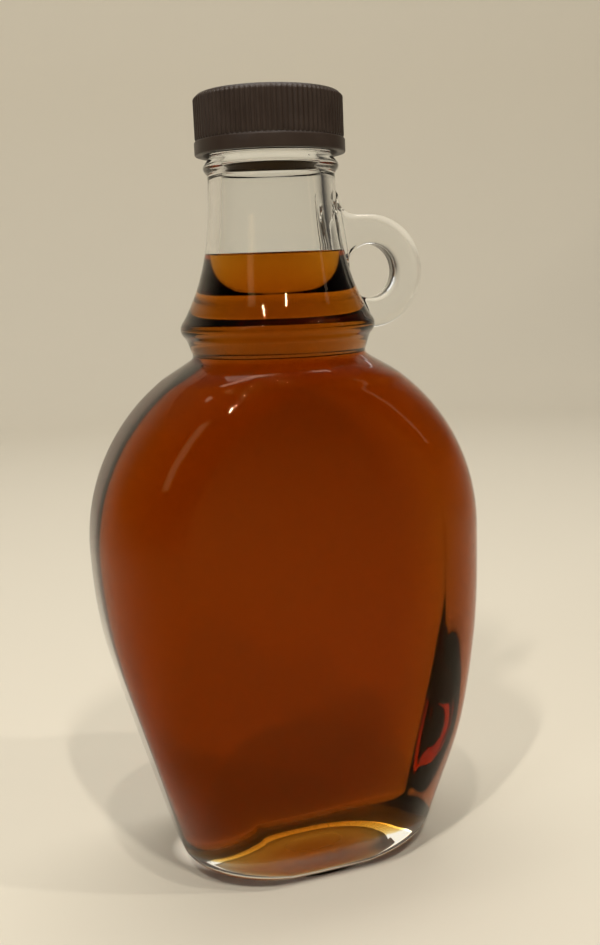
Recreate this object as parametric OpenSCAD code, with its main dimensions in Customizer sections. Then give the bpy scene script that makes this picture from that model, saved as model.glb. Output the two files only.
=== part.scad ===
// Syrup flask: a flat-fronted clear glass bottle with a small ear handle on its neck,
// filled with syrup up to the neck and shut with a ribbed screw cap.
// The origin is the centre of the base on the surface it stands on, +Z is up,
// +X points to the ear handle and -Y is the front. Sizes are in millimetres.

/* [Body] */
// Width of the flask at its widest level
body_w = 84.8; // [70:0.1:102]
// Depth of the flask from front face to back face
body_d = 46.6; // [40:0.1:56]
// Height of the widest level
waist_z = 71.5; // [58:0.5:76]
// Height of the throat, where the shoulders meet the neck
throat_z = 111.2; // [92.5:0.1:134]
// How far below the throat the shoulders' curve would reach its radius
shoulder_drop = 1.5; // [1:0.1:2]
// Radius of the arc of each side below the widest level
side_r = 105; // [88:1:110]
// Width of the base, measured at the foot of the straight taper
base_w = 54.5; // [45:0.1:65]
// Height over which the front face rounds over to the throat
crown_h = 4.5; // [4:0.5:12]
// Rounding of the upright edges at the widest level, across the width
edge_rx = 17; // [10:0.5:20]
// Rounding of the upright edges at the widest level, across the depth
edge_ry = 21; // [12:0.5:22]
// Rounding of the upright edges at the foot, across the width
foot_rx = 14; // [9:0.5:16]
// Rounding of the upright edges at the foot, across the depth
foot_ry = 11; // [8:0.5:16]
// Height of the foot, where the upright edges start to open out to the base
foot_z = 29; // [20:1:34]
// Rounding of the four corners at the base
base_corner_r = 19; // [14:0.5:20]
// Rounding of the heel, between the walls and the base
heel_r = 6; // [4:0.5:7]

/* [Glass] */
// Thickness of the side walls
wall = 3.1; // [2.5:0.1:3.7]
// Thickness of the glass in the base
floor_t = 4.8; // [4.2:0.1:6]
// Rounding of the hollow between its walls and its floor
hollow_heel_r = 5; // [4:0.5:7]
// Thickness of the glass in the neck
neck_wall = 2.8; // [2.3:0.1:3.3]
// Height of the hollow under the base
push_up_h = 2; // [1.2:0.1:2.4]
// Width of the flat ring that the bottle stands on
rest_ring_w = 3.5; // [2.5:0.1:4.5]

/* [Neck] */
// Radius of the throat
throat_r = 18.7; // [16:0.1:20]
// How far the collar stands out from the throat
collar_out = 2; // [1.2:0.1:2.6]
// Height of the collar's widest level above the throat
collar_rise = 5.2; // [4:0.1:6]
// Height of the neck from the throat up to the bead
neck_h = 36.3; // [30:0.1:43.6]
// How far the neck widens as a straight taper
neck_taper = 1.2; // [1:0.1:2]

/* [Finish] */
// Radius of the land that the cap is screwed over
land_r = 13.45; // [11.2:0.05:16.15]
// How far the bare glass above and below the land stands back from it
land_step = 0.85; // [0.6:0.05:1]
// How far the neck just under the bead stands out from the bare glass
neck_step = 0.6; // [0.2:0.1:0.9]
// How far the bead stands out from the bare glass
bead_out = 1.6; // [1.2:0.1:2]
// Height of the bead
bead_h = 2.2; // [1.8:0.1:2.6]
// Height from the top of the neck up to the cap's lower edge
cap_lift = 4; // [3.4:0.1:4.8]

/* [Cap] */
// Height of the cap
cap_h = 12.5; // [10.5:0.1:15]
// Height of the plain band round the cap's lower edge
band_h = 2.8; // [2:0.1:3.4]
// How far the plain band stands out from the ribs
band_out = 0.2; // [0.1:0.05:0.4]
// Thickness of the cap's skirt under the ribs
skirt_t = 1.3; // [1:0.1:1.6]
// Thickness of the cap's top
cap_top_t = 1.8; // [1.4:0.1:2.4]
// Number of ribs
rib_count = 88; // [60:1:110]
// Depth of the grooves between the ribs
rib_depth = 0.35; // [0.2:0.05:0.5]
// Rounding of the cap's upper edge
cap_edge_r = 1.1; // [0.6:0.1:1.4]
// Rise of the cap's slightly domed top
dome_h = 0.4; // [0.2:0.1:0.6]
// Gap between the cap's bore and the glass inside it
cap_gap = 0.3; // [0.2:0.05:0.5]

/* [Ear handle] */
// Outside radius of the ear
ear_r = 12.1; // [10.1:0.1:14.5]
// Radius of the finger hole
ear_hole_r = 5.8; // [4.8:0.1:7]
// Thickness of the ear from front to back
ear_t = 5.4; // [4.5:0.1:6.4]
// Rounding of the ear's outer edges
ear_edge_r = 1.8; // [1:0.1:2.2]
// Height of the finger hole's centre above the throat
ear_rise = 16; // [14.5:0.1:18]
// How far the finger hole's circle runs into the neck
ear_sink = 0.6; // [0.5:0.1:1.5]
// Height of the web that ties the ear to the neck above the hole
web_h = 5; // [3:0.1:5.5]

/* [Syrup] */
// Height of the syrup's surface above the throat
fill_rise = 19.6; // [14:0.1:24]
// Gap left between the syrup and the glass round it
fill_gap = 0.25; // [0.2:0.05:0.4]

/* [Hidden] */

$fn = 96;
corner_steps = 10;      // points on each rounded corner of a level
heel_steps = 5;
side_steps = 9;
shoulder_steps = 14;
arc_steps = 8;          // steps on each small arc of a turned profile
neck_steps = 12;
throat_soft = 1.5;      // softness of the crease where shoulders meet throat
over = 1;               // how far pieces of one solid run into each other
flare_power = 3;        // how late the neck flares out towards the collar
max_corner = 0.97;      // largest share of a level that its corners may take
min_corner = 4;         // tightest corner of the hollow inside the walls
max_crown = 0.9;        // largest share of the depth that the throat may take in the crown's curve
throat_h = 0.6;         // height of the straight throat
collar_round = 1.5;     // rounding of the collar's edge
collar_crest_h = 1.4;   // height from the collar's widest level to the foot of the neck
collar_crest_in = 0.6;  // how far the neck's foot stands back from the collar
bead_foot = 0.4;        // height from the neck's top to the bead
finish_foot = 0.4;      // height of bare straight glass seen under the cap
land_hide = 1.6;        // height from the cap's lower edge to the land inside it
land_slope = 0.8;       // height of the slopes below and above the land
lip_h = 1.6;            // height of the lip round the mouth
push_up_steps = 4;
push_up_share = 0.35;   // width of the hollow's crown against its mouth
web_foot = 0.8;         // glass left between the finger hole and the web
web_meet = 0.98;        // share of the ear's radius at which the web joins its top
band_edge_r = 0.3;      // rounding of the cap's lower band
rib_root = 0.2;         // how far the ribs reach into the cap's skirt
crown_arc = 80;         // angle of the arc round the cap's upper edge

body_a = body_w / 2;
body_b = body_d / 2;
base_a = base_w / 2;
finish_r = land_r - land_step;
bead_r = finish_r + bead_out;
neck_top_r = finish_r + neck_step;
cap_r = land_r + cap_gap + skirt_t + rib_depth;
neck_top_z = throat_z + neck_h;
collar_z = throat_z + collar_rise;
collar_r = throat_r + collar_out;
flare_z = collar_z + collar_crest_h;
flare_r = collar_r - collar_crest_in;
bead_z = neck_top_z + bead_h / 2 + bead_foot;
cap_z = neck_top_z + cap_lift;
cap_top_z = cap_z + cap_h;
mouth_z = cap_top_z - cap_top_t;
land_z = cap_z + land_hide;
fill_z = throat_z + fill_rise;

// ---- Outline of the flask, seen from the front ----

// The shoulders follow an ellipse that meets the throat's radius at shoulder_top_z.
shoulder_top_z = throat_z - shoulder_drop;
shoulder_h = (shoulder_top_z - waist_z) / sqrt(1 - pow(throat_r / body_a, 2));
// Below the waist each side is an arc, then a straight line that touches it.
side_cx = body_a - side_r;
side_far = norm([base_a - side_cx, waist_z]);
touch_angle = acos(side_r / side_far) - atan2(waist_z, base_a - side_cx);
touch_x = side_cx + side_r * cos(touch_angle);
touch_z = waist_z + side_r * sin(touch_angle);

// The front and back faces round over towards the throat.
crown_z = shoulder_top_z - crown_h;
crown_reach = crown_h / sqrt(1 - pow(min(throat_r / body_b, max_crown), 2));

function mix(a, b, t) = a + (b - a) * t;
function clamp01(t) = min(1, max(0, t));
function smooth01(t) = let (c = clamp01(t)) c * c * (3 - 2 * c);
function soft_max(a, b, k) = (a + b + sqrt(pow(a - b, 2) + k * k)) / 2;
// Height of a unit quarter circle above u.
function round_off(u) = sqrt(max(0, 1 - u * u));

function shoulder_half(z) = body_a * round_off((z - waist_z) / shoulder_h);
function half_width(z) =
    z >= waist_z ? soft_max(shoulder_half(z), throat_r - throat_soft / 2, throat_soft)
  : z >= touch_z ? side_cx + sqrt(side_r * side_r - pow(z - waist_z, 2))
  : mix(base_a, touch_x, z / touch_z);
function half_depth(z) =
    z <= crown_z ? body_b
  : soft_max(body_b * round_off((z - crown_z) / crown_reach), throat_r - throat_soft / 2,
             throat_soft * smooth01((z - crown_z) / crown_h));
// Share of the way from a rounded oblong up to the round throat.
function roundness(z) = smooth01((z - crown_z) / crown_h);
// How steeply the side leans at z, so that its rounding keeps its size square to the side.
function side_lean(z) = half_width(z + 0.5) - half_width(z - 0.5);
// Rounding that goes from the base's through the foot's to the widest level's.
function edge_round(z, foot, edge) =
    mix(mix(base_corner_r, foot, smooth01(z / foot_z)), edge,
        smooth01((z - foot_z) / (waist_z - foot_z)));
function corner_x(z) =
    mix(edge_round(z, foot_rx, edge_rx) * sqrt(1 + pow(side_lean(z), 2)),
        half_width(z), roundness(z));
function corner_y(z) = mix(edge_round(z, foot_ry, edge_ry), half_depth(z), roundness(z));
// How far the heel's rounding draws a level in.
function heel_inset(z, r) = z >= r ? 0 : r * (1 - round_off(1 - z / r));

// ---- Levels and lofts ----

// Points of one level: an oblong of half sizes a and b with elliptical corners.
function level(a, b, rx, ry, z) =
    let (cx = min(rx, a * max_corner), cy = min(ry, b * max_corner))
    [for (q = [0:3], i = [0:corner_steps - 1])
        let (t = 90 * (q + i / (corner_steps - 1)),
             sx = (q == 0 || q == 3) ? 1 : -1,
             sy = q < 2 ? 1 : -1)
        [sx * (a - cx) + cx * cos(t), sy * (b - cy) + cy * sin(t), z]];

// A level of the flask drawn in by inset; its corners shrink with it.
function flask_level(z, inset, draw) =
    level(half_width(z) - inset - draw, half_depth(z) - inset - draw,
          max(min_corner, corner_x(z) - inset), max(min_corner, corner_y(z) - inset), z);

// Heights of the levels between a rounded heel at z0 and the top.
function flask_heights(z0, heel, top) = concat(
    [for (i = [0:heel_steps - 1]) z0 + heel * (1 - cos(90 * i / heel_steps))],
    [for (i = [0:side_steps - 1]) mix(z0 + heel, waist_z, i / side_steps)],
    [for (i = [0:shoulder_steps]) waist_z + (top - waist_z) * sin(90 * i / shoulder_steps)]);

// Solid skin over a stack of levels with equal numbers of points.
module loft(levels) {
    n = len(levels[0]);
    m = len(levels);
    points = [for (l = levels) each l];
    sides = [for (j = [0:m - 2], i = [0:n - 1])
        let (a = j * n + i, b = j * n + (i + 1) % n)
        each [[a, a + n, b], [b, a + n, b + n]]];
    bottom = [for (i = [0:n - 1]) i];
    top = [for (i = [n - 1:-1:0]) (m - 1) * n + i];
    polyhedron(points = points, faces = concat(sides, [bottom, top]), convexity = 6);
}

// The flask's shape drawn in by inset, from a heel at z0 up to top.
module flask(z0, heel, inset, top) {
    loft([for (z = flask_heights(z0, heel, top))
        flask_level(z, inset, heel_inset(z - z0, heel))]);
}

// ---- Neck, a turned shape ----

function arc(cx, cy, r, a0, a1) =
    [for (i = [0:arc_steps]) let (t = mix(a0, a1, i / arc_steps)) [cx + r * cos(t), cy + r * sin(t)]];

// Radius of the neck without its collar, from the throat up to the bead.
function neck_radius(z) =
    let (t = clamp01((neck_top_z - z) / (neck_top_z - flare_z)))
    neck_top_r + neck_taper * t + (flare_r - neck_top_r - neck_taper) * pow(t, flare_power);

// Points up the neck's side, drawn in by inset.
function neck_side(z0, z1, inset) =
    [for (i = [0:neck_steps]) let (z = mix(z0, z1, i / neck_steps)) [neck_radius(z) - inset, z]];

function bore_radius(z) = min(neck_radius(z), throat_r) - neck_wall;
function bore_side(z0, z1, gap) =
    [for (i = [0:neck_steps]) let (z = mix(z0, z1, i / neck_steps)) [bore_radius(z) - gap, z]];

module neck_outside() {
    rotate_extrude() polygon(concat(
        [[0, throat_z - over], [throat_r, throat_z - over], [throat_r, throat_z + throat_h]],
        arc(collar_r - collar_round, collar_z, collar_round, -60, 25),
        neck_side(flare_z, neck_top_z, 0),
        arc(bead_r - bead_h / 2, bead_z, bead_h / 2, -70, 60),
        [[finish_r, cap_z - finish_foot], [finish_r, land_z], [land_r, land_z + land_slope],
         [land_r, mouth_z - lip_h - land_slope], [finish_r, mouth_z - lip_h],
         [finish_r, mouth_z], [0, mouth_z]]));
}

module neck_bore() {
    rotate_extrude() polygon(concat(
        [[0, throat_z - over]],
        bore_side(throat_z - over, neck_top_z, 0),
        [[bore_radius(neck_top_z), mouth_z + over], [0, mouth_z + over]]));
}

// ---- Ear handle ----

ear_z = throat_z + ear_rise;
ear_x = neck_radius(ear_z) - ear_sink + ear_hole_r;

module ear_ring() {
    e = ear_edge_r;
    translate([ear_x, 0, ear_z]) rotate([90, 0, 0])
        rotate_extrude() polygon(concat(
            [[ear_hole_r, -ear_t / 2 + e / 2], [ear_hole_r + e / 2, -ear_t / 2]],
            arc(ear_r - e, -ear_t / 2 + e, e, -90, 0),
            arc(ear_r - e, ear_t / 2 - e, e, 0, 90),
            [[ear_hole_r + e / 2, ear_t / 2], [ear_hole_r, ear_t / 2 - e / 2]]));
}

// The web between the top of the ring and the neck, with a hollow sweep above it.
module ear_web() {
    top_z = ear_z + ear_r * web_meet;
    inner_x = neck_radius(top_z) - neck_wall / 2;
    foot_x = neck_radius(top_z + web_h) + web_h;
    low_z = ear_z + ear_hole_r + web_foot;
    translate([0, ear_t / 2 - ear_edge_r / 2, 0]) rotate([90, 0, 0])
        linear_extrude(ear_t - ear_edge_r) polygon(concat(
            [[inner_x, low_z], [ear_x, low_z], [ear_x, top_z]],
            arc(foot_x, top_z + web_h, web_h, 270, 180),
            [[inner_x, top_z + web_h]]));
}

// ---- Nodes ----

// Shallow hollow under the base, inside the ring that the bottle stands on.
module push_up() {
    a = half_width(0) - heel_r - rest_ring_w;
    b = half_depth(0) - heel_r - rest_ring_w;
    loft([for (i = [0:push_up_steps])
        let (t = i / push_up_steps, s = mix(1, push_up_share, t), h = push_up_h * sin(90 * t))
        level(a * s, b * s, base_corner_r * s, base_corner_r * s, i == 0 ? -over : h)]);
}

module bottle() {
    color([0.80, 0.86, 0.84, 0.35])
        difference() {
            union() {
                flask(0, heel_r, 0, throat_z + 0.5);
                neck_outside();
                ear_ring();
                ear_web();
            }
            flask(floor_t, hollow_heel_r, wall, throat_z - over / 2);
            neck_bore();
            push_up();
        }
}

module syrup() {
    color([0.42, 0.16, 0.03])
        union() {
            flask(floor_t + fill_gap, hollow_heel_r, wall + fill_gap, throat_z - over / 2);
            rotate_extrude() polygon(concat(
                [[0, throat_z - over]],
                bore_side(throat_z - over, fill_z, fill_gap),
                [[0, fill_z]]));
        }
}

// Star-shaped outline of the ribs: one ridge and one groove for each rib.
module rib_outline() {
    step = 360 / rib_count;
    polygon([for (i = [0:rib_count - 1], k = [0, 0.25, 0.5, 0.75])
        let (r = k == 0 || k == 0.25 ? cap_r : cap_r - rib_depth, t = (i + k) * step)
        [r * cos(t), r * sin(t)]]);
}

module cap() {
    core_r = cap_r - rib_depth;
    bore_r = land_r + cap_gap;
    band_r = cap_r + band_out;
    rib_z = cap_z + band_h - band_edge_r;
    edge_z = cap_top_z - dome_h - cap_edge_r;
    color([0.17, 0.13, 0.11])
        union() {
            rotate_extrude() polygon(concat(
                [[bore_r, cap_z]],
                arc(band_r - band_edge_r, cap_z + band_edge_r, band_edge_r, -90, 0),
                [[band_r, rib_z], [core_r, rib_z + band_edge_r]],
                arc(core_r - cap_edge_r, edge_z, cap_edge_r, 0, crown_arc),
                [[0, cap_top_z], [0, mouth_z], [bore_r, mouth_z]]));
            difference() {
                translate([0, 0, rib_z]) linear_extrude(edge_z - rib_z) rib_outline();
                translate([0, 0, cap_z]) cylinder(r = core_r - rib_root, h = cap_h);
            }
        }
}

bottle();
syrup();
cap();
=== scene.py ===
"""Looks of a syrup flask: clear moulded glass, a fill of amber syrup and a ribbed screw cap.

Everything is in metres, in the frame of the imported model: the origin is the centre of the
base, +Z is up, +X points to the ear handle and -Y is the front.
"""

import logging
from dataclasses import dataclass, field
from enum import Enum
from typing import Any

import bpy
import numpy as np
from mathutils import Matrix, Vector

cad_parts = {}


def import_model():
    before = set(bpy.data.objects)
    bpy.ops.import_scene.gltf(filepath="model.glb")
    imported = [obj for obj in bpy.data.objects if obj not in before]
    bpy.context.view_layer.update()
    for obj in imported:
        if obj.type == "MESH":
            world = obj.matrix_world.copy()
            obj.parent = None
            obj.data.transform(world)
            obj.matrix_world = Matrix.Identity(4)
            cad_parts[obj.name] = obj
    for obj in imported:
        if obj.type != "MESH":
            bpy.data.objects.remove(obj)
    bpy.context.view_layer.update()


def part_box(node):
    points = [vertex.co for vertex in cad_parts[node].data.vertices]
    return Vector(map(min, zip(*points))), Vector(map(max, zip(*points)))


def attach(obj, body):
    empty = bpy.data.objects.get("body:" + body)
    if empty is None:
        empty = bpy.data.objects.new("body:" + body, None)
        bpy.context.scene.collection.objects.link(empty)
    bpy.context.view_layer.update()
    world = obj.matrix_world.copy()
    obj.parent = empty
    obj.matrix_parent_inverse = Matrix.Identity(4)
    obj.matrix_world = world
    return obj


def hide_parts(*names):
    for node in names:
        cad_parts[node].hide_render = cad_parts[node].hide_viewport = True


MM = 0.001
CLIMB = 0.6  # how far the syrup climbs the wall at its edge, in millimetres
LOG = logging.getLogger("flask")

Array = np.ndarray


# ---- Small numeric helpers ----

def mix(a: Any, b: Any, t: Any) -> Any:
    """Goes in a straight line from a to b as t goes from 0 to 1."""
    return a + (b - a) * t


def smooth01(t: Any) -> Array:
    """Goes from 0 to 1 with no slope at either end: 3 t squared less 2 t cubed."""
    c = np.clip(t, 0.0, 1.0)
    return c * c * (3.0 - 2.0 * c)


def round_off(u: Any) -> Array:
    """Height of a unit quarter circle above u."""
    return np.sqrt(np.clip(1.0 - np.square(u), 0.0, None))


def soft_max(a: Any, b: Any, k: Any) -> Array:
    """The larger of a and b, with the crease between them rounded by k."""
    return (a + b + np.sqrt(np.square(a - b) + np.square(k))) / 2.0


def arc(centre: tuple[float, float], r: float, start: float, end: float, steps: int = 16) -> Array:
    """Points of a circular arc.

    Args:
        centre: its centre, as radius and height.
        r: its radius.
        start: its first angle, in degrees.
        end: its last angle, in degrees.
        steps: how many steps it has.

    Returns:
        Rows of radius and height.
    """
    t = np.radians(np.linspace(start, end, steps + 1))
    return np.stack([centre[0] + r * np.cos(t), centre[1] + r * np.sin(t)], axis=1)


def soften(line: Array, step: float, radius: float) -> Array:
    """Rounds the corners of a line of points.

    The line is measured out in even steps of its own length, and each point then becomes the
    mean of its neighbours within the radius, weighted by a raised cosine. Its ends stay.

    Args:
        line: rows of points.
        step: the distance between the new points.
        radius: how far the rounding reaches.

    Returns:
        The new rows.
    """
    gaps = np.linalg.norm(np.diff(line, axis=0), axis=1)
    along = np.concatenate([[0.0], np.cumsum(gaps)])
    even = np.linspace(0.0, along[-1], max(3, int(round(along[-1] / step))))
    rows = np.stack([np.interp(even, along, column) for column in line.T], axis=1)
    reach = max(1, int(round(radius / step)))
    weights = np.hanning(2 * reach + 3)[1:-1]
    weights /= weights.sum()
    before = 2 * rows[0] - rows[reach:0:-1]
    after = 2 * rows[-1] - rows[-2:-reach - 2:-1]
    padded = np.concatenate([before, rows, after])
    return np.stack([np.convolve(column, weights, "valid") for column in padded.T], axis=1)


# ---- Meshes from grids ----

def band_quads(index: Array) -> Array:
    """Four-cornered faces between each ring of points and the next one.

    Args:
        index: the points' numbers, as rows of rings.

    Returns:
        Rows of four point numbers.
    """
    low = index[:-1]
    high = index[1:]
    corners = [low, np.roll(low, -1, axis=1), np.roll(high, -1, axis=1), high]
    return np.stack(corners, axis=-1).reshape(-1, 4)


class Skin:
    """A closed surface on a grid of rings, with a pole at each end."""

    def __init__(self, rings: Array, poles: tuple[Array, Array]) -> None:
        """Keeps the grid.

        Args:
            rings: points as rows of rings, each ring a closed loop.
            poles: the two points that close the first and last ring.
        """
        self.rings = rings
        self.poles = poles

    def object(
        self, name: str, second_slot: Array | None = None, marks: dict[str, Array] | None = None,
    ) -> bpy.types.Object:
        """Makes the surface a mesh object with smooth faces that point outwards.

        Args:
            name: the object's name.
            second_slot: for each ring, whether faces that touch only such rings take the
                object's second material.
            marks: attributes by name, with a value for each ring.

        Returns:
            The new object, linked to the scene.
        """
        rows, columns = self.rings.shape[:2]
        index = np.arange(rows * columns).reshape(rows, columns)
        first = rows * columns
        start = index[0]
        end = index[-1]
        fan = np.stack([np.full(columns, first), np.roll(start, -1), start], axis=1)
        tip = np.stack([np.full(columns, first + 1), end, np.roll(end, -1)], axis=1)
        faces = band_quads(index).tolist() + fan.tolist() + tip.tolist()
        points = np.concatenate([self.rings.reshape(-1, 3), self.poles])
        mesh = bpy.data.meshes.new(name)
        mesh.from_pydata(points, [], faces)
        if second_slot is not None:
            both = np.repeat(second_slot[:-1] & second_slot[1:], columns)
            slots = np.zeros(len(faces), np.int32)
            slots[:len(both)] = both
            slots[-columns:] = second_slot[-1]
            mesh.polygons.foreach_set("material_index", slots)
        for key, values in (marks or {}).items():
            spread = np.concatenate([np.repeat(values, columns), values[[0, -1]]])
            mark = mesh.attributes.new(key, "FLOAT", "POINT")
            mark.data.foreach_set("value", spread.astype(np.float32))
        mesh.update()
        mesh.shade_smooth()
        made = bpy.data.objects.new(name, mesh)
        bpy.context.scene.collection.objects.link(made)
        return made


# ---- Shader nodes ----

class Socket:
    """A value in a material's node graph. Its operators add Math nodes."""

    def __init__(self, graph: "Graph", output: bpy.types.NodeSocket) -> None:
        """Keeps the graph and the node socket that gives the value."""
        self.graph = graph
        self.output = output

    def math(self, operation: str, first: Any, second: Any) -> "Socket":
        """Adds a Math node of that operation on two values, and gives its result."""
        return self.graph.node(
            "ShaderNodeMath", {"operation": operation}, {0: first, 1: second}
        )["Value"]

    def __add__(self, other: Any) -> "Socket":
        """Sum of two values."""
        return self.math("ADD", self, other)

    __radd__ = __add__

    def __mul__(self, other: Any) -> "Socket":
        """Product of two values."""
        return self.math("MULTIPLY", self, other)

    __rmul__ = __mul__


class Outputs:
    """The outputs of a node, read by name or number."""

    def __init__(self, graph: "Graph", node: bpy.types.Node) -> None:
        """Keeps the node and its graph."""
        self.graph = graph
        self.node = node

    def __getitem__(self, name: str | int) -> Socket:
        """Gives one output as a value."""
        return Socket(self.graph, self.node.outputs[name])


class Graph:
    """The node graph of one material."""

    def __init__(self, name: str) -> None:
        """Makes an empty material.

        Args:
            name: the material's name.
        """
        self.material = bpy.data.materials.new(name)
        self.material.use_nodes = True
        self.tree = self.material.node_tree
        self.tree.nodes.clear()

    def node(
        self, kind: str, settings: dict[str, Any] | None = None,
        inputs: dict[Any, Any] | None = None,
    ) -> Outputs:
        """Adds a node.

        Args:
            kind: the node's type.
            settings: its own settings, set first.
            inputs: the values or links of its sockets.

        Returns:
            Its outputs.
        """
        made = self.tree.nodes.new(kind)
        for key, value in (settings or {}).items():
            setattr(made, key, value)
        for key, value in (inputs or {}).items():
            if isinstance(value, Socket):
                self.tree.links.new(value.output, made.inputs[key])
            else:
                made.inputs[key].default_value = value
        return Outputs(self, made)

    def place(self) -> Socket:
        """The point on the object, in metres."""
        return self.node("ShaderNodeTexCoord")["Object"]

    def noise(self, size: float, detail: float = 2.0, stretch: tuple = (1.0, 1.0, 1.0)) -> Socket:
        """Soft noise from 0 to 1.

        Args:
            size: the size of its patches, in metres.
            detail: how much finer noise it holds.
            stretch: how much longer its patches are along each axis.

        Returns:
            The noise.
        """
        spot = self.node(
            "ShaderNodeMapping", None,
            {"Vector": self.place(), "Scale": tuple(1.0 / s for s in stretch)},
        )["Vector"]
        return self.node(
            "ShaderNodeTexNoise", None, {"Vector": spot, "Scale": 1.0 / size, "Detail": detail}
        )["Fac"]

    def share_in(self, value: Socket, start: float, end: float) -> Socket:
        """How far a value has come from start to end, from 0 to 1."""
        return self.node(
            "ShaderNodeMapRange", None, {"Value": value, "From Min": start, "From Max": end}
        )["Result"]

    def bump(self, height: Socket, depth: float) -> Socket:
        """A normal from heights of 0 to 1 that stand for a depth in metres."""
        return self.node(
            "ShaderNodeBump", None, {"Strength": 1.0, "Distance": depth, "Height": height}
        )["Normal"]

    def blend(self, share: Any, first: Any, second: Any) -> Socket:
        """A colour that goes from the first to the second as the share goes from 0 to 1."""
        return self.node(
            "ShaderNodeMix", {"data_type": "RGBA"}, {0: share, 6: first, 7: second}
        )[2]

    def finish(self, surface: Socket, volume: Socket | None = None) -> bpy.types.Material:
        """Joins the surface and any volume to the material's output.

        Args:
            surface: the surface's shader.
            volume: the shader of what the surface holds.

        Returns:
            The material.
        """
        links: dict[str, Socket] = {"Surface": surface}
        if volume is not None:
            links["Volume"] = volume
        self.node("ShaderNodeOutputMaterial", None, links)
        return self.material


# ---- Finishes ----

@dataclass(frozen=True)
class ClearGlass:
    """Clear moulded glass: slow waves from the mould, a few faint smears, a stippled underside.

    Its reflections are toned down and warm, so that they don't veil the syrup with grey.
    """

    tint: tuple = (0.965, 0.968, 0.962, 1.0)
    gloss: tuple = (0.30, 0.19, 0.08, 1.0)
    ior: float = 1.50
    smear_size: float = 0.009
    smear_from: float = 0.5
    smear_full: float = 0.8
    smeared: float = 0.02
    stippled: float = 0.45
    stipple_z: float = 0.0026
    smear_stretch: tuple = (1.0, 1.0, 3.0)
    wave_size: float = 0.013
    wave_stretch: tuple = (1.0, 1.0, 1.8)
    wave_depth: float = 0.00008

    def material(self) -> bpy.types.Material:
        """Builds the material.

        Returns:
            The material.
        """
        g = Graph("clear_glass")
        waves = g.noise(self.wave_size, 1.0, self.wave_stretch)
        smear = g.node(
            "ShaderNodeMapRange", None,
            {
                "Value": g.noise(self.smear_size, 3.0, self.smear_stretch),
                "From Min": self.smear_from, "From Max": self.smear_full,
                "To Min": 0.0, "To Max": self.smeared,
            },
        )["Result"]
        height = g.node("ShaderNodeSeparateXYZ", None, {"Vector": g.place()})["Z"]
        stipple = g.share_in(height, self.stipple_z, self.stipple_z / 2) * self.stippled
        body = g.node(
            "ShaderNodeBsdfPrincipled", None,
            {
                "Base Color": self.tint, "Roughness": smear + stipple, "IOR": self.ior,
                "Transmission Weight": 1.0, "Specular Tint": self.gloss,
                "Normal": g.bump(waves, self.wave_depth),
            },
        )["BSDF"]
        return g.finish(body)


@dataclass(frozen=True)
class WettedWall:
    """The glass wall where syrup lies against it: nothing shows between the two."""

    def material(self) -> bpy.types.Material:
        """Builds the material."""
        g = Graph("wetted_wall")
        return g.finish(g.node("ShaderNodeBsdfTransparent")["BSDF"])


@dataclass(frozen=True)
class AmberSyrup:
    """Clear syrup that takes out blue first, then green, so that it deepens with its depth.

    Against the glass, which bends light as much as syrup does, its surface doesn't show. Only
    its free surface in the neck bends and mirrors light.
    """

    let_through: tuple = (0.853, 0.655, 0.10, 1.0)
    density: float = 250.0
    ior: float = 1.47
    drift_size: float = 0.02
    drift_stretch: tuple = (1.0, 1.0, 2.2)
    drift_depth: float = 0.00006

    def material(self) -> bpy.types.Material:
        """Builds the material.

        Returns:
            The material.
        """
        g = Graph("amber_syrup")
        drift = g.noise(self.drift_size, 0.0, self.drift_stretch)
        against_glass = g.node(
            "ShaderNodeBsdfPrincipled", None,
            {
                "Base Color": (1.0, 1.0, 1.0, 1.0), "Roughness": 0.0, "IOR": 1.0,
                "Transmission Weight": 1.0,
            },
        )["BSDF"]
        surface = g.node(
            "ShaderNodeBsdfPrincipled", None,
            {
                "Base Color": (1.0, 1.0, 1.0, 1.0), "Roughness": 0.0, "IOR": self.ior,
                "Transmission Weight": 1.0, "Normal": g.bump(drift, self.drift_depth),
            },
        )["BSDF"]
        free = g.node("ShaderNodeAttribute", {"attribute_name": "free_surface"})["Fac"]
        body = g.node("ShaderNodeMixShader", None, {0: free, 1: against_glass, 2: surface})["Shader"]
        depth = g.node(
            "ShaderNodeVolumeAbsorption", None,
            {"Color": self.let_through, "Density": self.density},
        )["Volume"]
        return g.finish(body, depth)


@dataclass(frozen=True)
class CapPlastic:
    """Dark brown moulded plastic with a soft sheen, paler and duller in faint clouds."""

    deep: tuple = (0.028, 0.018, 0.013, 1.0)
    rubbed: tuple = (0.048, 0.033, 0.025, 1.0)
    cloud_size: float = 0.004
    smooth: float = 0.30
    dull: float = 0.46
    ior: float = 1.49
    shine: float = 0.22
    grain_size: float = 0.00035
    grain_depth: float = 0.000012

    def material(self) -> bpy.types.Material:
        """Builds the material.

        Returns:
            The material.
        """
        g = Graph("cap_plastic")
        cloud = g.noise(self.cloud_size, 3.0)
        grain = g.noise(self.grain_size, 2.0)
        roughness = self.smooth + (self.dull - self.smooth) * cloud
        body = g.node(
            "ShaderNodeBsdfPrincipled", None,
            {
                "Base Color": g.blend(cloud, self.deep, self.rubbed), "Roughness": roughness,
                "IOR": self.ior, "Specular IOR Level": self.shine,
                "Normal": g.bump(grain, self.grain_depth),
            },
        )["BSDF"]
        return g.finish(body)


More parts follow.
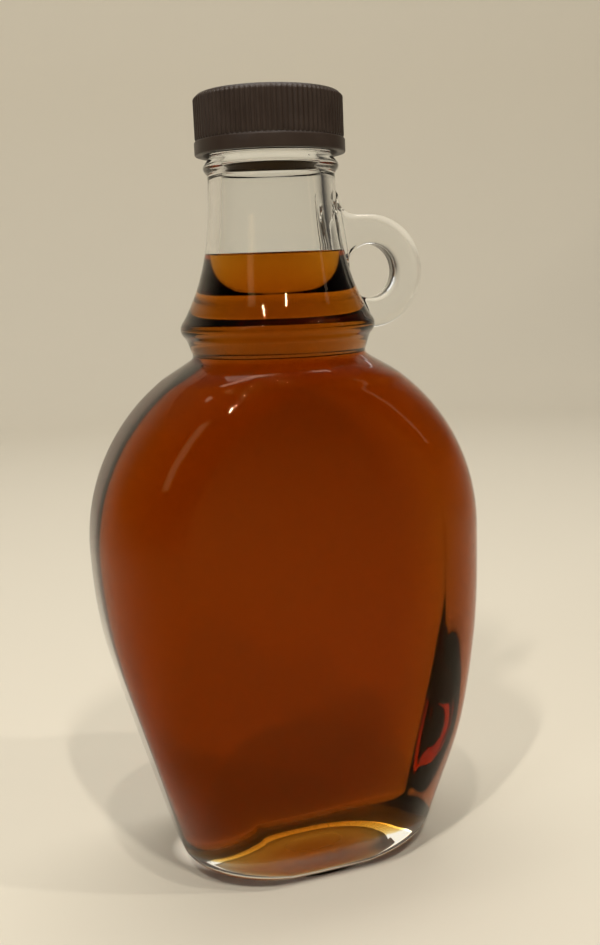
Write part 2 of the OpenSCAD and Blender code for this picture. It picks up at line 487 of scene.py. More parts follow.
@dataclass(frozen=True)
class StudioPaper:
    """Matt paper: pale on the floor and behind the object, grey on the wall in front of it.

    It has a painted pool of light under the base: it glows softly there, standing in for light that
    comes down through the glass.
    """

    pale: tuple = (0.70, 0.645, 0.53, 1.0)
    grey: tuple = (0.10, 0.095, 0.09, 1.0)
    dark: tuple = (0.0, 0.0, 0.0, 1.0)
    rough: float = 0.9
    shine: float = 0.2
    # The glow fields shape the painted pool of light under the base: its strength, reach, centre and
    # fall-off.
    glow: float = 1.4
    glow_reach: tuple = (0.026, 0.0155, 1.0)
    glow_centre: tuple = (0.0, 0.002, 0.0)
    glow_full: float = 0.85
    glow_end: float = 1.15
    back_y: float = 0.85
    front_y: float = 0.35
    floor_z: float = 0.02
    wall_z: float = 0.25

    def material(self) -> bpy.types.Material:
        """Builds the material.

        Returns:
            The material.
        """
        g = Graph("studio_paper")
        spot = g.node("ShaderNodeSeparateXYZ", None, {"Vector": g.place()})
        front = g.share_in(spot["Y"], self.back_y, self.front_y)
        wall = g.share_in(spot["Z"], self.floor_z, self.wall_z)
        moved = g.node(
            "ShaderNodeVectorMath", {"operation": "SUBTRACT"}, {0: g.place(), 1: self.glow_centre}
        )["Vector"]
        shrunk = g.node(
            "ShaderNodeVectorMath", {"operation": "DIVIDE"}, {0: moved, 1: self.glow_reach}
        )["Vector"]
        far = g.node("ShaderNodeVectorMath", {"operation": "LENGTH"}, {0: shrunk})["Value"]
        body = g.node(
            "ShaderNodeBsdfPrincipled", None,
            {
                "Base Color": g.blend(front * wall, self.pale, self.grey), "Roughness": self.rough,
                "Specular IOR Level": self.shine, "Emission Strength": self.glow,
                # Emission paints a pool of light on the floor under the base, fading out with distance
                # from its centre.
                "Emission Color": g.blend(
                    g.share_in(far, self.glow_end, self.glow_full), self.dark, self.pale
                ),
            },
        )["BSDF"]
        return g.finish(body)


def dress(piece: bpy.types.Object, *finishes: bpy.types.Material) -> None:
    """Gives a piece its materials, one for each slot that its faces use."""
    for finish in finishes:
        piece.data.materials.append(finish)


# ---- The flask's form, shared by the glass and the syrup ----

@dataclass(frozen=True)
class FlaskForm:
    """Sizes of the flask, in millimetres, and the level curves that they give."""

    body_w: float = 84.8
    body_d: float = 46.6
    waist_z: float = 71.5
    throat_z: float = 111.2
    shoulder_drop: float = 1.5
    side_r: float = 105.0
    base_w: float = 54.5
    crown_h: float = 4.5
    edge_rx: float = 17.0
    edge_ry: float = 21.0
    foot_rx: float = 14.0
    foot_ry: float = 11.0
    foot_z: float = 29.0
    base_corner_r: float = 19.0
    heel_r: float = 6.0
    throat_r: float = 18.7
    throat_soft: float = 1.5
    min_corner: float = 4.0
    max_crown: float = 0.9
    turn: float = 8.0
    corner_points: int = 20
    face_points: int = 24
    side_points: int = 12
    heel_rings: int = 14
    side_rings: int = 44
    shoulder_rings: int = 64

    def half_width(self, z: Array) -> Array:
        """Half the width at height z.

        Above the waist it is an ellipse that runs softly into the throat's radius, below it a
        circular arc, and below the point where the arc leans like the base it is a straight
        taper that touches the arc.

        Args:
            z: heights.

        Returns:
            Half the width at each height.
        """
        a = self.body_w / 2
        top = self.throat_z - self.shoulder_drop
        rise = (top - self.waist_z) / np.sqrt(1 - (self.throat_r / a) ** 2)
        shoulder = soft_max(
            a * round_off((z - self.waist_z) / rise),
            self.throat_r - self.throat_soft / 2, self.throat_soft,
        )
        centre = a - self.side_r
        run = self.base_w / 2 - centre
        turn = np.arccos(self.side_r / np.hypot(run, self.waist_z)) - np.arctan2(self.waist_z, run)
        touch_x = centre + self.side_r * np.cos(turn)
        touch_z = self.waist_z + self.side_r * np.sin(turn)
        bowed = centre + np.sqrt(np.clip(self.side_r ** 2 - (z - self.waist_z) ** 2, 0, None))
        straight = mix(self.base_w / 2, touch_x, z / touch_z)
        return np.where(z >= self.waist_z, shoulder, np.where(z >= touch_z, bowed, straight))

    def _crown(self, z: Array) -> Array:
        """How far z is up the crown, where the faces round over to the throat: 0 to 1."""
        return (z - (self.throat_z - self.shoulder_drop - self.crown_h)) / self.crown_h

    def half_depth(self, z: Array) -> Array:
        """Half the depth at height z: even up to the crown, then a softly ended ellipse.

        Args:
            z: heights.

        Returns:
            Half the depth at each height.
        """
        b = self.body_d / 2
        up = np.clip(self._crown(z), 0, None)
        reach = 1 / np.sqrt(1 - min(self.throat_r / b, self.max_crown) ** 2)
        low = self.throat_r - self.throat_soft / 2
        crown = soft_max(b * round_off(up / reach), low, self.throat_soft * smooth01(up))
        return np.where(up <= 0, b, crown)

    def _edge(self, z: Array, foot: float, edge: float) -> Array:
        """Rounding that goes from the base's through the foot's to the widest level's."""
        low = mix(self.base_corner_r, foot, smooth01(z / self.foot_z))
        return mix(low, edge, smooth01((z - self.foot_z) / (self.waist_z - self.foot_z)))

    def level_rows(self, z: Array, inset: float, draw: Array) -> Array:
        """Sizes of the level curves at the heights z.

        Args:
            z: heights.
            inset: how far the surface lies inside the outer one.
            draw: how much further the heel's rounding draws each level in.

        Returns:
            Rows of half width, half depth, corner across, corner deep and height.
        """
        lean = self.half_width(z + 0.5) - self.half_width(z - 0.5)  # over one millimetre
        round_share = smooth01(self._crown(z))
        a = self.half_width(z)
        b = self.half_depth(z)
        rx = mix(self._edge(z, self.foot_rx, self.edge_rx) * np.hypot(1, lean), a, round_share)
        ry = mix(self._edge(z, self.foot_ry, self.edge_ry), b, round_share)
        rx = np.maximum(self.min_corner, rx - inset)
        ry = np.maximum(self.min_corner, ry - inset)
        return np.stack([a - inset - draw, b - inset - draw, rx, ry, z], axis=1)

    def wall_rows(self, start: float, heel: float, inset: float, stop: float) -> Array:
        """Level curves of a wall from its rounded heel up to the throat.

        Args:
            start: height of the heel's foot.
            heel: the heel's radius.
            inset: how far the wall lies inside the outer one.
            stop: height of the last level.

        Returns:
            Rows as level_rows gives them.
        """
        quarter = np.pi / 2
        low = start + heel * (1 - np.cos(np.linspace(0, quarter, self.heel_rings)))
        side = np.linspace(start + heel, self.waist_z, self.side_rings)[1:-1]
        climb = np.sin(np.linspace(0, quarter, self.shoulder_rings))
        high = mix(self.waist_z, stop, climb)
        z = np.concatenate([low, side, high])
        draw = heel * (1 - round_off(np.clip(1 - (z - start) / heel, 0, 1)))
        return self.level_rows(z, inset, draw)

    def floor_rows(self, edge: Array, height: Array) -> Array:
        """Level curves of a floor that closes in from an edge level.

        Args:
            edge: the level that the floor starts from.
            height: heights of the floor, from its middle to its edge.

        Returns:
            Rows as level_rows gives them, from the middle out, without the edge itself.
        """
        share = np.linspace(0, 1, len(height) + 1)[1:-1]
        rows = share[:, None] * edge[None, :]
        rows[:, 4] = height[1:]
        return rows

    @staticmethod
    def turned_rows(line: Array) -> Array:
        """Level curves of a turned shape, from rows of radius and height."""
        return line[:, [0, 0, 0, 0, 1]]

    def rings(self, rows: Array, grow: float = 0.0) -> Array:
        """Points of the level curves, in metres.

        Each level is an oblong with elliptical corners. A point is the corner's ellipse at an
        angle, moved out by the flat's half length times a share that goes smoothly from -1 to
        1 as the angle passes the middle of a flat, so that a round level is a true circle.

        Args:
            rows: level rows.
            grow: how far the levels are pushed out, in millimetres.

        Returns:
            A grid of points, one ring for each row.
        """
        angles = self._angles()
        spread = np.sin(np.radians(self.turn))
        across = np.clip(np.cos(angles) / spread, -1, 1)
        deep = np.clip(np.sin(angles) / spread, -1, 1)
        across = across * (1.5 - 0.5 * across ** 2)
        deep = deep * (1.5 - 0.5 * deep ** 2)
        a, b, rx, ry, z = (rows[:, [k]] for k in range(5))
        a = a + grow
        b = b + grow
        rx = np.minimum(rx + grow, a)
        ry = np.minimum(ry + grow, b)
        x = (a - rx) * across + rx * np.cos(angles)
        y = (b - ry) * deep + ry * np.sin(angles)
        return np.stack([x, y, z + 0 * x], axis=-1) * MM

    def _angles(self) -> Array:
        """Angles of a ring's points, closer together where the flats are.

        Returns:
            One row of angles, in radians.
        """
        corner = np.linspace(self.turn, 90 - self.turn, self.corner_points + 1)[:-1]
        side = np.linspace(-self.turn, self.turn, self.side_points + 1)[:-1]
        face = np.linspace(-self.turn, self.turn, self.face_points + 1)[:-1]
        half = np.concatenate([side, corner, 90 + face, 90 + corner])
        return np.radians(np.concatenate([half, 180 + half]))[None, :]


@dataclass(frozen=True)
class NeckForm:
    """Sizes of the neck and its finish, in millimetres."""

    flask: FlaskForm = field(default_factory=FlaskForm)
    collar_out: float = 2.0
    collar_rise: float = 5.2
    collar_round: float = 2.4
    crest_h: float = 1.4
    crest_in: float = 0.6
    top_r: float = 13.2
    height: float = 36.3
    taper: float = 1.2
    flare_power: float = 3.0
    wall: float = 2.8
    bead_r: float = 14.2
    bead_h: float = 2.2
    bead_foot: float = 0.4
    finish_r: float = 12.6
    land_r: float = 13.45
    throat_h: float = 0.6
    finish_foot: float = 0.4
    land_rise: float = 1.6
    land_slope: float = 0.8
    lip_edge: float = 0.4
    collar_sweep: tuple = (-60.0, 25.0)
    bead_sweep: tuple = (-70.0, 60.0)
    collar_steps: int = 8
    bead_steps: int = 10
    side_rings: int = 30

    @property
    def top_z(self) -> float:
        """Height of the neck's top, under the bead."""
        return self.flask.throat_z + self.height

    @property
    def collar_z(self) -> float:
        """Height of the collar's widest level."""
        return self.flask.throat_z + self.collar_rise

    def radius(self, z: Array) -> Array:
        """Outer radius: a slight taper up, plus a flare that grows with a power downwards.

        Args:
            z: heights.

        Returns:
            The radius at each height.
        """
        foot_z = self.collar_z + self.crest_h
        foot_r = self.flask.throat_r + self.collar_out - self.crest_in
        t = np.clip((self.top_z - z) / (self.top_z - foot_z), 0, 1)
        return self.top_r + self.taper * t + (foot_r - self.top_r - self.taper) * t ** self.flare_power

    def bore(self, z: Array) -> Array:
        """Radius of the hollow at height z."""
        return np.minimum(self.radius(z), self.flask.throat_r) - self.wall

    def outside(self, cap_z: float, mouth_z: float) -> Array:
        """Profile of the outside, from the throat to the lip.

        Args:
            cap_z: height of the cap's lower edge.
            mouth_z: height of the lip's top.

        Returns:
            Rows of radius and height.
        """
        throat = [[self.flask.throat_r, self.flask.throat_z + self.throat_h]]
        collar_r = self.flask.throat_r + self.collar_out
        collar_centre = (collar_r - self.collar_round, self.collar_z)
        collar = arc(collar_centre, self.collar_round, *self.collar_sweep, self.collar_steps)
        z = np.linspace(self.collar_z + self.crest_h, self.top_z, self.side_rings)
        side = np.stack([self.radius(z), z], axis=1)
        half = self.bead_h / 2
        bead_centre = (self.bead_r - half, self.top_z + half + self.bead_foot)
        bead = arc(bead_centre, half, *self.bead_sweep, self.bead_steps)
        land_low = cap_z + self.land_rise
        land_high = mouth_z - self.land_rise
        land = [
            [self.finish_r, cap_z - self.finish_foot], [self.finish_r, land_low],
            [self.land_r, land_low + self.land_slope], [self.land_r, land_high - self.land_slope],
            [self.finish_r, land_high], [self.finish_r, mouth_z - self.lip_edge],
            [self.finish_r - self.lip_edge, mouth_z],
        ]
        return np.concatenate([throat, collar, side, bead, land])


# ---- Pieces ----

@dataclass
class GlassBottle:
    """The one piece of glass: flask, neck and ear handle."""

    flask: FlaskForm
    neck: NeckForm
    cap_z: float
    mouth_z: float
    wet_z: float
    wall: float = 3.1
    floor_t: float = 4.8
    hollow_heel_r: float = 5.0
    push_up_h: float = 2.0
    push_up_power: float = 1.2
    rest_ring: float = 3.5
    throat_gap: float = 0.4
    throat_soft: float = 1.3
    hollow_throat_gap: float = 0.8
    hollow_throat_soft: float = 1.0
    ear_r: float = 12.1
    ear_hole_r: float = 5.8
    ear_t: float = 5.4
    ear_edge_r: float = 1.8
    ear_inner_edge_r: float = 1.1
    ear_rise: float = 16.0
    ear_sink: float = 0.6
    web_h: float = 5.0
    hole_sweep: tuple = (-142.0, 178.0)
    ring_sweep: tuple = (-108.0, 88.0)
    web_sweep: tuple = (268.0, 182.0)
    ear_steps: int = 150
    ring_steps: int = 60
    web_steps: int = 24
    edge_points: int = 9
    root: float = 1.2
    fillet: float = 1.6
    lip_edge: float = 0.5
    base_rings: int = 22
    floor_rings: int = 14
    bore_rings: int = 34
    throat_rings: int = 10
    throat_step: float = 0.42
    hollow_throat_rings: int = 6
    hollow_throat_step: float = 0.7
    crease: float = 38.0

    def outer_rows(self) -> Array:
        """Level rows of the outside, from the middle of the hollow base up to the lip.

        Returns:
            The rows.
        """
        form = self.flask
        walls = form.wall_rows(0.0, form.heel_r, 0.0, form.throat_z - self.throat_gap)
        edge = walls[0].copy()
        edge[:4] -= self.rest_ring
        share = np.linspace(0, 1, self.base_rings)
        rise = self.push_up_h * round_off(share) ** self.push_up_power
        base = form.floor_rows(edge, rise)
        neck = form.turned_rows(self.neck.outside(self.cap_z, self.mouth_z))
        low = walls[:-self.throat_rings]
        high = np.concatenate([walls[-self.throat_rings:], neck])
        return np.concatenate([base, [edge], low, soften(high, self.throat_step, self.throat_soft)])

    def inner_rows(self) -> Array:
        """Level rows of the hollow, from the middle of its floor up to the lip.

        Returns:
            The rows, one of them just at the height where the syrup's edge ends.
        """
        form = self.flask
        stop = form.throat_z - self.hollow_throat_gap
        walls = form.wall_rows(self.floor_t, self.hollow_heel_r, self.wall, stop)
        floor = form.floor_rows(walls[0], np.full(self.floor_rings, self.floor_t))
        start = form.throat_z + self.hollow_throat_gap
        z = np.linspace(start, self.neck.top_z, self.bore_rings)
        bore = np.stack([self.neck.bore(z), z], axis=1)
        lip_r = self.neck.bore(np.array(self.neck.top_z))
        lip = [[lip_r, self.mouth_z - self.lip_edge], [lip_r + self.lip_edge, self.mouth_z]]
        neck = form.turned_rows(np.concatenate([bore, lip]))
        low = walls[:-self.hollow_throat_rings]
        high = np.concatenate([walls[-self.hollow_throat_rings:], neck])
        top = soften(high, self.hollow_throat_step, self.hollow_throat_soft)
        rows = np.concatenate([floor, low, top])
        nearest = np.abs(rows[:, 4] - self.wet_z).argmin()
        rows[nearest, 4] = self.wet_z
        return rows

    def skin(self) -> bpy.types.Object:
        """The flask and neck as one closed surface, outside and hollow joined at the lip.

        Returns:
            The flask and neck, without the ear.
        """
        outer = self.outer_rows()
        inner = self.inner_rows()[::-1]
        wet = np.concatenate([np.zeros(len(outer), bool), inner[:, 4] <= self.wet_z])
        rings = self.flask.rings(np.concatenate([outer, inner]))
        poles = (
            np.array([0.0, 0.0, self.push_up_h * MM]), np.array([0.0, 0.0, self.floor_t * MM])
        )
        return Skin(rings, poles).object("flask_glass", second_slot=wet)

    def _ear_edges(self, u: Array) -> tuple[Array, Array]:
        """Inner and outer edge of the ear, as rows of x and z, along u from 0 to 1.

        The inner edge follows the finger hole's circle from the neck round to the neck. The
        outer edge follows the ring's circle to its top, then runs level and sweeps up to the
        neck in a quarter circle.

        Args:
            u: places along the ear.

        Returns:
            The inner edge and the outer edge.
        """
        z0 = self.flask.throat_z + self.ear_rise
        x0 = float(self.neck.radius(np.array(z0))) - self.ear_sink + self.ear_hole_r
        t = np.radians(mix(*self.hole_sweep, u))
        inner = np.stack([x0 + self.ear_hole_r * np.cos(t), z0 + self.ear_hole_r * np.sin(t)], axis=1)
        ring = arc((x0, z0), self.ear_r, *self.ring_sweep, self.ring_steps)
        top_z = z0 + self.ear_r
        foot_r = float(self.neck.radius(np.array(top_z + self.web_h)))
        web_centre = (foot_r + self.web_h, top_z + self.web_h)
        web = arc(web_centre, self.web_h, *self.web_sweep, self.web_steps)
        line = np.concatenate([ring, web])
        gaps = np.linalg.norm(np.diff(line, axis=0), axis=1)
        along = np.concatenate([[0.0], np.cumsum(gaps)])
        along /= along[-1]
        outer = np.stack([np.interp(u, along, line[:, 0]), np.interp(u, along, line[:, 1])], axis=1)
        return inner, outer

    def ear(self) -> bpy.types.Object:
        """The ear handle: a rounded flat section carried round the finger hole.

        The section is an oblong between the two edges, with the outer corners rounded more
        than the inner ones. Near the neck each point is pushed sideways by a quarter circle's
        fall-off, so that the ear's faces run into the neck in a fillet. Both ends reach into
        the neck's wall.

        Returns:
            The ear, not yet joined to the flask.
        """
        inner, outer = self._ear_edges(np.linspace(0, 1, self.ear_steps))
        width = np.linalg.norm(outer - inner, axis=1)[:, None]
        along, side = self._ear_section()
        share = np.where(along >= 0, along, width + along) / width
        x = inner[:, [0]] + (outer - inner)[:, [0]] * share
        z = inner[:, [1]] + (outer - inner)[:, [1]] * share
        y = side + 0 * x
        gap = np.hypot(x, y) - self.neck.radius(z)
        near = np.clip(1 - gap / self.fillet, 0, 1)
        y = y * (1 + (1 - round_off(near)) * self.fillet / (self.ear_t / 2))
        rings = np.stack([x, y, z], axis=-1)
        ends = (rings[:1].copy(), rings[-1:].copy())
        for end in ends:
            end[..., 0] -= self.root
        rings = np.concatenate([ends[0], rings, ends[1]]) * MM
        poles = (rings[0].mean(axis=0), rings[-1].mean(axis=0))
        return Skin(rings, poles).object("ear_glass")

    def _ear_section(self) -> tuple[Array, Array]:
        """The ear's section, a quarter circle at each corner.

        Returns:
            Places across the ear and places to its side. A place across from 0 up is measured
            from the inner edge, and one below 0 from the outer edge.
        """
        half = self.ear_t / 2
        e = self.ear_edge_r
        i = self.ear_inner_edge_r
        t = np.linspace(0, np.pi / 2, self.edge_points)
        inner_low = np.stack([i - i * np.sin(t), -half + i - i * np.cos(t)], axis=1)
        inner_high = np.stack([i - i * np.cos(t), half - i + i * np.sin(t)], axis=1)
        outer_high = np.stack([-e + e * np.sin(t) - 1e-9, half - e + e * np.cos(t)], axis=1)
        outer_low = np.stack([-e + e * np.cos(t) - 1e-9, -half + e - e * np.sin(t)], axis=1)
        section = np.concatenate([inner_low, inner_high, outer_high, outer_low])
        return section[None, :, 0], section[None, :, 1]

    def build(self) -> bpy.types.Object:
        """Makes the whole piece and joins the ear to the neck.

        Returns:
            The bottle.
        """
        bottle = self.skin()
        ear = self.ear()
        join = bottle.modifiers.new("join", "BOOLEAN")
        join.operation = "UNION"
        join.solver = "EXACT"
        join.object = ear
        graph = bpy.context.evaluated_depsgraph_get()
        mesh = bpy.data.meshes.new_from_object(bottle.evaluated_get(graph))
        bottle.modifiers.clear()
        bottle.data = mesh
        mesh.shade_smooth()
        mesh.set_sharp_from_angle(angle=np.radians(self.crease))
        bpy.data.objects.remove(ear)
        bottle.name = "bottle_glass"
        dress(bottle, ClearGlass().material(), WettedWall().material())
        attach(bottle, "root")
        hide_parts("bottle")
        return bottle


@dataclass
class SyrupFill:
    """The syrup up to its level in the neck, reaching a little way into the glass wall."""

    bottle: GlassBottle
    fill_z: float
    into_wall: float = 0.12
    rise_reach: float = 2.4
    rise_power: float = 2.2
    top_gap: float = 0.2
    bend_rings: int = 12
    flat_rings: int = 10

    def rows(self) -> tuple[Array, Array]:
        """Level rows from the middle of the floor up the wall and in over the surface.

        The surface climbs the wall by the rise, falling off as a power of a share that goes
        from 1 at the wall to 0 at the reach.

        Returns:
            The rows, and for each 1 if it is on the free surface or 0 if it meets the glass.
        """
        inner = self.bottle.inner_rows()
        top = self.bottle.wet_z
        rise = top - self.fill_z
        inner = inner[inner[:, 4] < top - self.top_gap]
        inner[inner[:, 4] <= self.bottle.floor_t + 1e-6, 4] -= self.into_wall
        wall_r = float(self.bottle.neck.bore(np.array(top))) + self.into_wall
        share = np.linspace(1, 0, self.bend_rings)
        bend_z = self.fill_z + rise * share ** self.rise_power
        bend = np.stack([wall_r - self.rise_reach * (1 - share), bend_z], axis=1)
        flat_r = np.linspace(wall_r - self.rise_reach, 0, self.flat_rings)[1:-1]
        flat = np.stack([flat_r, np.full(len(flat_r), self.fill_z)], axis=1)
        surface = FlaskForm.turned_rows(np.concatenate([bend, flat]))
        surface[:, :4] -= self.into_wall
        free = np.concatenate([np.zeros(len(inner) + 1), np.ones(len(surface) - 1)])
        return np.concatenate([inner, surface]), free

    def build(self) -> bpy.types.Object:
        """Makes the syrup.

        Returns:
            The syrup.
        """
        form = self.bottle.flask
        rows, free = self.rows()
        rings = form.rings(rows, self.into_wall)
        floor_z = self.bottle.floor_t - self.into_wall
        poles = (np.array([0, 0, floor_z * MM]), np.array([0, 0, self.fill_z * MM]))
        syrup = Skin(rings, poles).object("syrup_fill", marks={"free_surface": free})
        dress(syrup, AmberSyrup().material())
        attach(syrup, "root")
        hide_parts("syrup")
        return syrup


@dataclass
class ScrewCap:
    """The ribbed cap with its plain band."""

    z0: float
    z1: float
    mouth_z: float
    ribs: int = 88
    radius: float = 15.4
    rib_depth: float = 0.35
    band_h: float = 2.8
    band_out: float = 0.2
    band_edge_r: float = 0.3
    skirt_in: float = 1.3
    bore_r: float = 13.75
    edge_r: float = 1.1
    dome_h: float = 0.4
    bore_edge: float = 0.3
    rib_fade: float = 0.5
    top_fade: float = 0.75
    rib_flatness: float = 1.6
    rib_foot: tuple = (0.05, 0.35)
    side_foot: float = 0.6
    side_stop: float = 0.2
    crown_in: float = 1.3
    per_rib: int = 8
    side_rings: int = 12
    crown_rings: int = 12

    def _profile(self) -> tuple[Array, Array]:
        """Profile from the bore's top round the outside to the crown, and its share of ribs.

        Returns:
            Rows of radius and height, and how far the ribs show in each row.
        """
        core = self.radius - self.rib_depth
        band = self.radius + self.band_out
        edge_z = self.z1 - self.dome_h - self.edge_r
        top = self.z0 + self.band_h
        inside = [
            [self.bore_r, self.mouth_z], [self.bore_r, self.z0 + self.bore_edge],
            [self.bore_r + self.bore_edge, self.z0],
        ]
        e = self.band_edge_r
        low = arc((band - e, self.z0 + e), e, -90, 0, 5)
        high = arc((band - e, top - e), e, 0, 80, 5)
        foot = np.array([[core, top + rise] for rise in self.rib_foot])
        side_z = np.linspace(top + self.side_foot, edge_z - self.side_stop, self.side_rings)
        side = np.stack([np.full(self.side_rings, core), side_z], axis=1)
        shoulder = arc((core - self.edge_r, edge_z), self.edge_r, 0, 78, 12)
        crown_r = np.linspace(core - self.edge_r * self.crown_in, 0.0, self.crown_rings)[:-1]
        crown = np.stack([crown_r, self.z1 - self.dome_h * (crown_r / core) ** 2], axis=1)
        line = np.concatenate([inside, low, high, foot, side, shoulder, crown])
        z = line[:, 1]
        ribbed = smooth01((z - foot[0, 1]) / self.rib_fade)
        ribbed = ribbed * (1 - smooth01((z - edge_z) / self.top_fade))
        ribbed[:-len(foot) - len(side) - len(shoulder) - len(crown)] = 0.0
        ribbed[-len(crown):] = 0.0
        return line, ribbed

    def build(self) -> bpy.types.Object:
        """Makes the cap.

        The ribs stand on the core as a wave round the cap: its height is a raised cosine
        pushed towards flat tops and narrow grooves.

        Returns:
            The cap.
        """
        line, ribbed = self._profile()
        angle = np.linspace(0, 2 * np.pi, self.ribs * self.per_rib, endpoint=False)
        wave = 0.5 + 0.5 * np.cos(self.ribs * angle)
        wave = 1 - (1 - wave) ** self.rib_flatness
        r = line[:, [0]] + self.rib_depth * ribbed[:, None] * wave[None, :]
        z = line[:, [1]] + 0 * r
        rings = np.stack([r * np.cos(angle), r * np.sin(angle), z], axis=-1) * MM
        poles = (np.array([0, 0, self.mouth_z * MM]), np.array([0, 0, self.z1 * MM]))
        cap = Skin(rings, poles).object("screw_cap")
        dress(cap, CapPlastic().material())
        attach(cap, "root")
        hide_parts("cap")
        return cap


# ---- Studio ----

class LightPlace(Enum):
    """Where a light stands and what it faces, in metres."""

    WINDOW = ((-0.55, -0.35, 0.50), (0.0, 0.0, 0.08))
    SIDE = ((0.62, -0.30, 0.42), (0.0, 0.0, 0.08))
    BACK_TOP = ((0.10, 0.35, 0.95), (0.0, 0.10, 0.0))
    WALL_WASH = ((0.0, 0.15, 0.98), (0.0, 1.10, 0.25))
    LAMP_LEFT = ((-0.28, -0.34, 0.66), (0.0, 0.0, 0.12))
    LAMP_RIGHT = ((-0.02, -0.46, 0.62), (0.0, 0.0, 0.12))
    LAMP_HIGH = ((-0.06, -0.22, 0.78), (0.0, 0.0, 0.10))
    LAMP_OVER = ((0.34, -0.30, 0.68), (0.0, 0.0, 0.10))


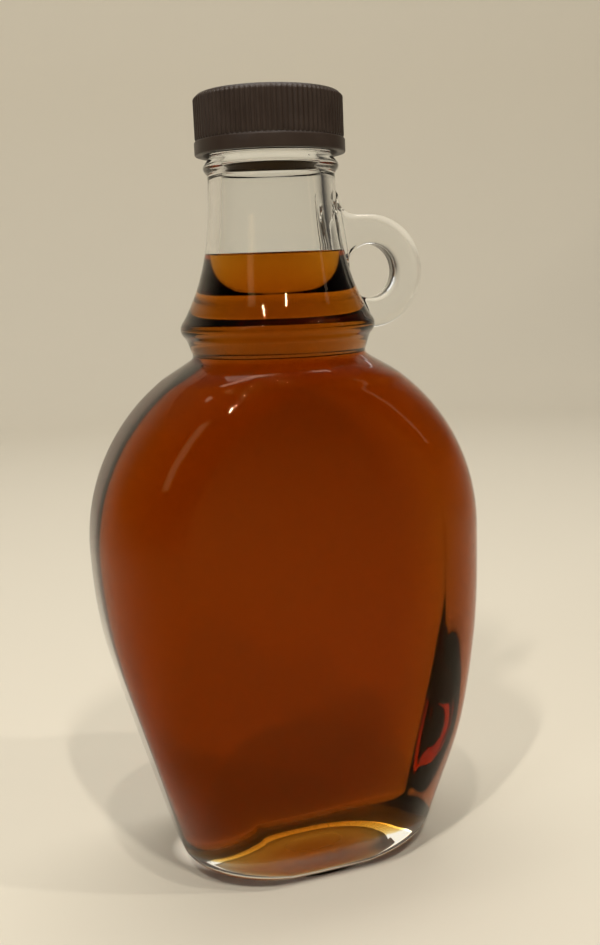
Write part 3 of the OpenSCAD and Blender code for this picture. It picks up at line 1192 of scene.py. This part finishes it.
@dataclass
class Studio:
    """Camera, floor with a round sweep, and soft lights."""

    floor_r: float = 0.75
    sweep_r: float = 0.35
    wall_h: float = 0.75
    distance: float = 0.2331
    height: float = 0.1266
    turn: float = 17.18
    pan: float = 2.96
    pitch: float = 10.34
    roll: float = -2.07
    lens: float = 41.26
    shift_x: float = -0.0422
    middle_r: float = 0.02
    floor_rings: int = 12
    bend_steps: int = 20
    wall_rings: int = 4
    sides: int = 96
    cool: tuple = (0.92, 0.96, 1.0)
    plain: tuple = (1.0, 0.98, 0.95)
    warm: tuple = (1.0, 0.95, 0.88)
    strip: tuple = (0.014, 0.09)
    strip_radiance: float = 400.0
    square: tuple = (0.021, 0.021)
    square_radiance: float = 600.0
    air: float = 0.10

    def camera(self) -> bpy.types.Object:
        """Makes the camera.

        It stands at a distance and a height on the front side, turned round the object, and
        looks along a line that is panned, pitched down and rolled.

        Returns:
            The camera.
        """
        turn, pan, pitch, roll = np.radians([self.turn, self.pan, self.pitch, self.roll])
        ahead = Vector((np.sin(pan), np.cos(pan), 0.0))
        right = Vector((np.cos(pan), -np.sin(pan), 0.0))
        up = Vector((0.0, 0.0, 1.0))
        look = ahead * np.cos(pitch) - up * np.sin(pitch)
        top = up * np.cos(pitch) + ahead * np.sin(pitch)
        side = right * np.cos(roll) + top * np.sin(roll)
        top = top * np.cos(roll) - right * np.sin(roll)
        facing = Matrix((side, top, -look)).transposed().to_4x4()
        facing.translation = Vector((0.0, -self.distance, self.height))
        data = bpy.data.cameras.new("camera")
        data.sensor_width = 36.0
        data.lens = self.lens
        data.shift_x = self.shift_x
        data.clip_start = 0.01
        camera = bpy.data.objects.new("camera", data)
        camera.matrix_world = Matrix.Rotation(-turn, 4, "Z") @ facing
        bpy.context.scene.collection.objects.link(camera)
        bpy.context.scene.camera = camera
        return camera

    def sweep(self) -> bpy.types.Object:
        """Makes the floor, which curves up into a round wall at its rim.

        Returns:
            The floor.
        """
        flat_r = np.linspace(self.middle_r, self.floor_r, self.floor_rings)
        flat = np.stack([flat_r, 0 * flat_r], axis=1)
        bend = arc((self.floor_r, self.sweep_r), self.sweep_r, -90, 0, self.bend_steps)
        wall_z = np.linspace(self.sweep_r, self.sweep_r + self.wall_h, self.wall_rings + 1)[1:]
        wall = np.stack([np.full(self.wall_rings, self.floor_r + self.sweep_r), wall_z], axis=1)
        line = np.concatenate([flat, bend[1:], wall])
        angle = np.linspace(0, 2 * np.pi, self.sides, endpoint=False)
        r = line[:, [0]] + 0 * angle
        rings = np.stack([r * np.cos(angle), r * np.sin(angle), line[:, [1]] + 0 * r], axis=-1)
        rows, columns = rings.shape[:2]
        index = np.arange(rows * columns).reshape(rows, columns)
        faces = band_quads(index).tolist() + [index[0].tolist()]
        mesh = bpy.data.meshes.new("studio_floor")
        mesh.from_pydata(rings.reshape(-1, 3), [], faces)
        mesh.shade_smooth()
        floor = bpy.data.objects.new("studio_floor", mesh)
        bpy.context.scene.collection.objects.link(floor)
        dress(floor, StudioPaper().material())
        return floor

    def light(self, place: LightPlace, size: tuple, radiance: float, colour: tuple) -> None:
        """Makes a soft rectangular light.

        Args:
            place: where it stands and what it faces.
            size: its width and height, in metres.
            radiance: how bright its face is.
            colour: its colour.
        """
        name = place.name.lower()
        data = bpy.data.lights.new(name, "AREA")
        data.shape = "RECTANGLE"
        data.size, data.size_y = size
        data.energy = radiance * np.pi * size[0] * size[1]
        data.color = colour
        lamp = bpy.data.objects.new(name, data)
        stand, target = (Vector(point) for point in place.value)
        lamp.location = stand
        lamp.rotation_mode = "QUATERNION"
        lamp.rotation_quaternion = (stand - target).to_track_quat("Z", "Y")
        bpy.context.scene.collection.objects.link(lamp)

    def world(self, colour: tuple, strength: float) -> None:
        """Makes an even light from all round.

        Args:
            colour: its colour.
            strength: how strong it is.
        """
        world = bpy.data.worlds.new("studio_air")
        world.use_nodes = True
        air = world.node_tree.nodes["Background"]
        air.inputs["Color"].default_value = colour
        air.inputs["Strength"].default_value = strength
        bpy.context.scene.world = world

    def build(self) -> None:
        """Makes the whole studio."""
        self.camera()
        self.sweep()
        self.light(LightPlace.WINDOW, (0.12, 0.45), 3.0, self.cool)
        self.light(LightPlace.SIDE, (0.06, 0.40), 1.5, self.warm)
        self.light(LightPlace.BACK_TOP, (0.7, 0.5), 2.1, self.plain)
        self.light(LightPlace.WALL_WASH, (0.9, 0.3), 5.0, self.plain)
        for place in (LightPlace.LAMP_LEFT, LightPlace.LAMP_RIGHT):
            self.light(place, self.strip, self.strip_radiance, self.warm)
        for place in (LightPlace.LAMP_HIGH, LightPlace.LAMP_OVER):
            self.light(place, self.square, self.square_radiance, self.warm)
        self.world((*self.plain, 1.0), self.air)
        bpy.context.scene.view_settings.view_transform = "Standard"


def main() -> None:
    """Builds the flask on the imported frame, piece by piece, then the studio."""
    logging.basicConfig(level=logging.INFO, format="%(name)s: %(message)s")
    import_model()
    flask = FlaskForm()
    neck = NeckForm(flask)
    cap_low, cap_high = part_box("cap")
    bottle_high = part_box("bottle")[1]
    syrup_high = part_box("syrup")[1]
    wet_z = syrup_high.z / MM + CLIMB
    bottle = GlassBottle(flask, neck, cap_low.z / MM, bottle_high.z / MM, wet_z)
    pieces = (
        bottle.build(),
        SyrupFill(bottle, syrup_high.z / MM).build(),
        ScrewCap(cap_low.z / MM, cap_high.z / MM, bottle_high.z / MM).build(),
    )
    for piece in pieces:
        LOG.info("%s has %d faces", piece.name, len(piece.data.polygons))
    Studio().build()


if __name__ == "__main__":
    main()
